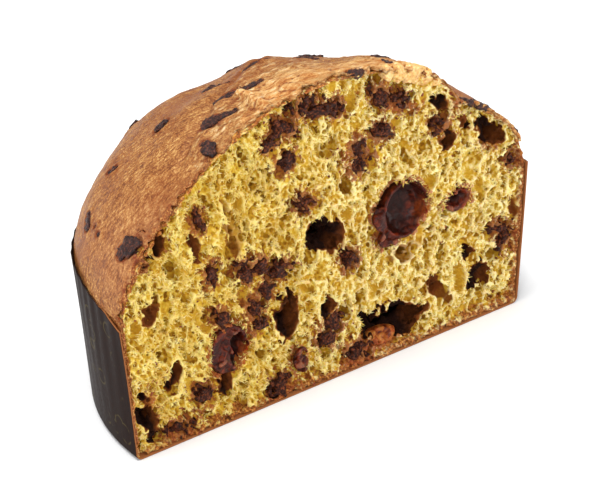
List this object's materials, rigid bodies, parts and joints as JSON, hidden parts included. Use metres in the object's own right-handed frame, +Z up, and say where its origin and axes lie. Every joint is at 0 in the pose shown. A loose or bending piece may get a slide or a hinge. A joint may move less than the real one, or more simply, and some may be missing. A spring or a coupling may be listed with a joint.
{
  "type": "half panettone in its baking paper",
  "caption": "Half of a dome-topped panettone with chocolate drops and candied cherries, cut down the middle and still in its dark baking paper.",
  "frame": {"origin": "middle of the base's bounding box, on the surface the half cake stands on", "axes": "+Z up along the cake's own axis, -Y out of the cut face, +X to the right as seen by someone facing the cut face"},
  "size_m": [0.1894, 0.0948, 0.1237],
  "materials": {
    "crust": "baked brown, soft satin",
    "crumb": "open, torn, yellow crumb",
    "baking_paper": "dark brown, satin",
    "candied_cherry": "sticky, translucent",
    "chocolate": "melted and set again, satin"
  },
  "bodies": {
    "root": {"bread": "crust", "paper": "baking_paper", "cherry_1": "candied_cherry", "cherry_2": "candied_cherry", "cherry_3": "candied_cherry", "cherry_4": "candied_cherry", "cherry_5": "candied_cherry"}
  },
  "joints": []
}
